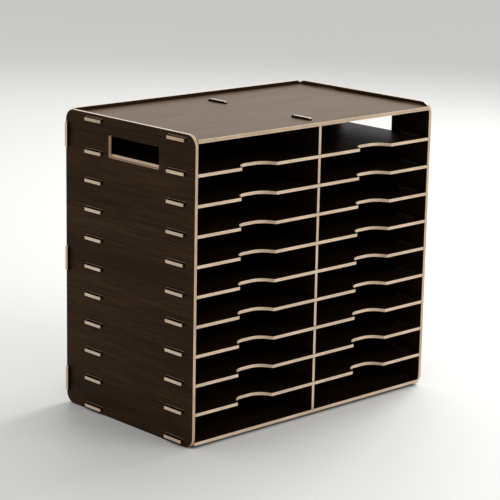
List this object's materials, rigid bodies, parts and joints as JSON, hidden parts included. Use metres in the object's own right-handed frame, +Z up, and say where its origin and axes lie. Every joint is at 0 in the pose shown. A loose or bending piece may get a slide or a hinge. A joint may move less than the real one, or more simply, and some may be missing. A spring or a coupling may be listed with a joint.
{
  "type": "literature sorter",
  "caption": "Free-standing literature sorter of slot-together laminated boards with raw edges: open letter-size pigeonholes with finger notches, a closed back and carrying handles.",
  "frame": {"origin": "middle of the footprint, on the table surface that the sorter stands on", "axes": "+Z up, the open front faces -Y, +X across the width to the right as seen from the front"},
  "size_m": [0.493, 0.292, 0.4555],
  "materials": {
    "dark_laminated_board": "dark walnut laminate, satin, on fibreboard with raw tan edges"
  },
  "bodies": {
    "root": {"left_side_panel": "dark_laminated_board", "right_side_panel": "dark_laminated_board", "back_panel": "dark_laminated_board", "bottom_panel": "dark_laminated_board", "top_panel": "dark_laminated_board", "centre_divider": "dark_laminated_board", "shelf_1": "dark_laminated_board", "shelf_2": "dark_laminated_board", "shelf_3": "dark_laminated_board", "shelf_4": "dark_laminated_board", "shelf_5": "dark_laminated_board", "shelf_6": "dark_laminated_board", "shelf_7": "dark_laminated_board", "shelf_8": "dark_laminated_board", "shelf_9": "dark_laminated_board"}
  },
  "joints": []
}
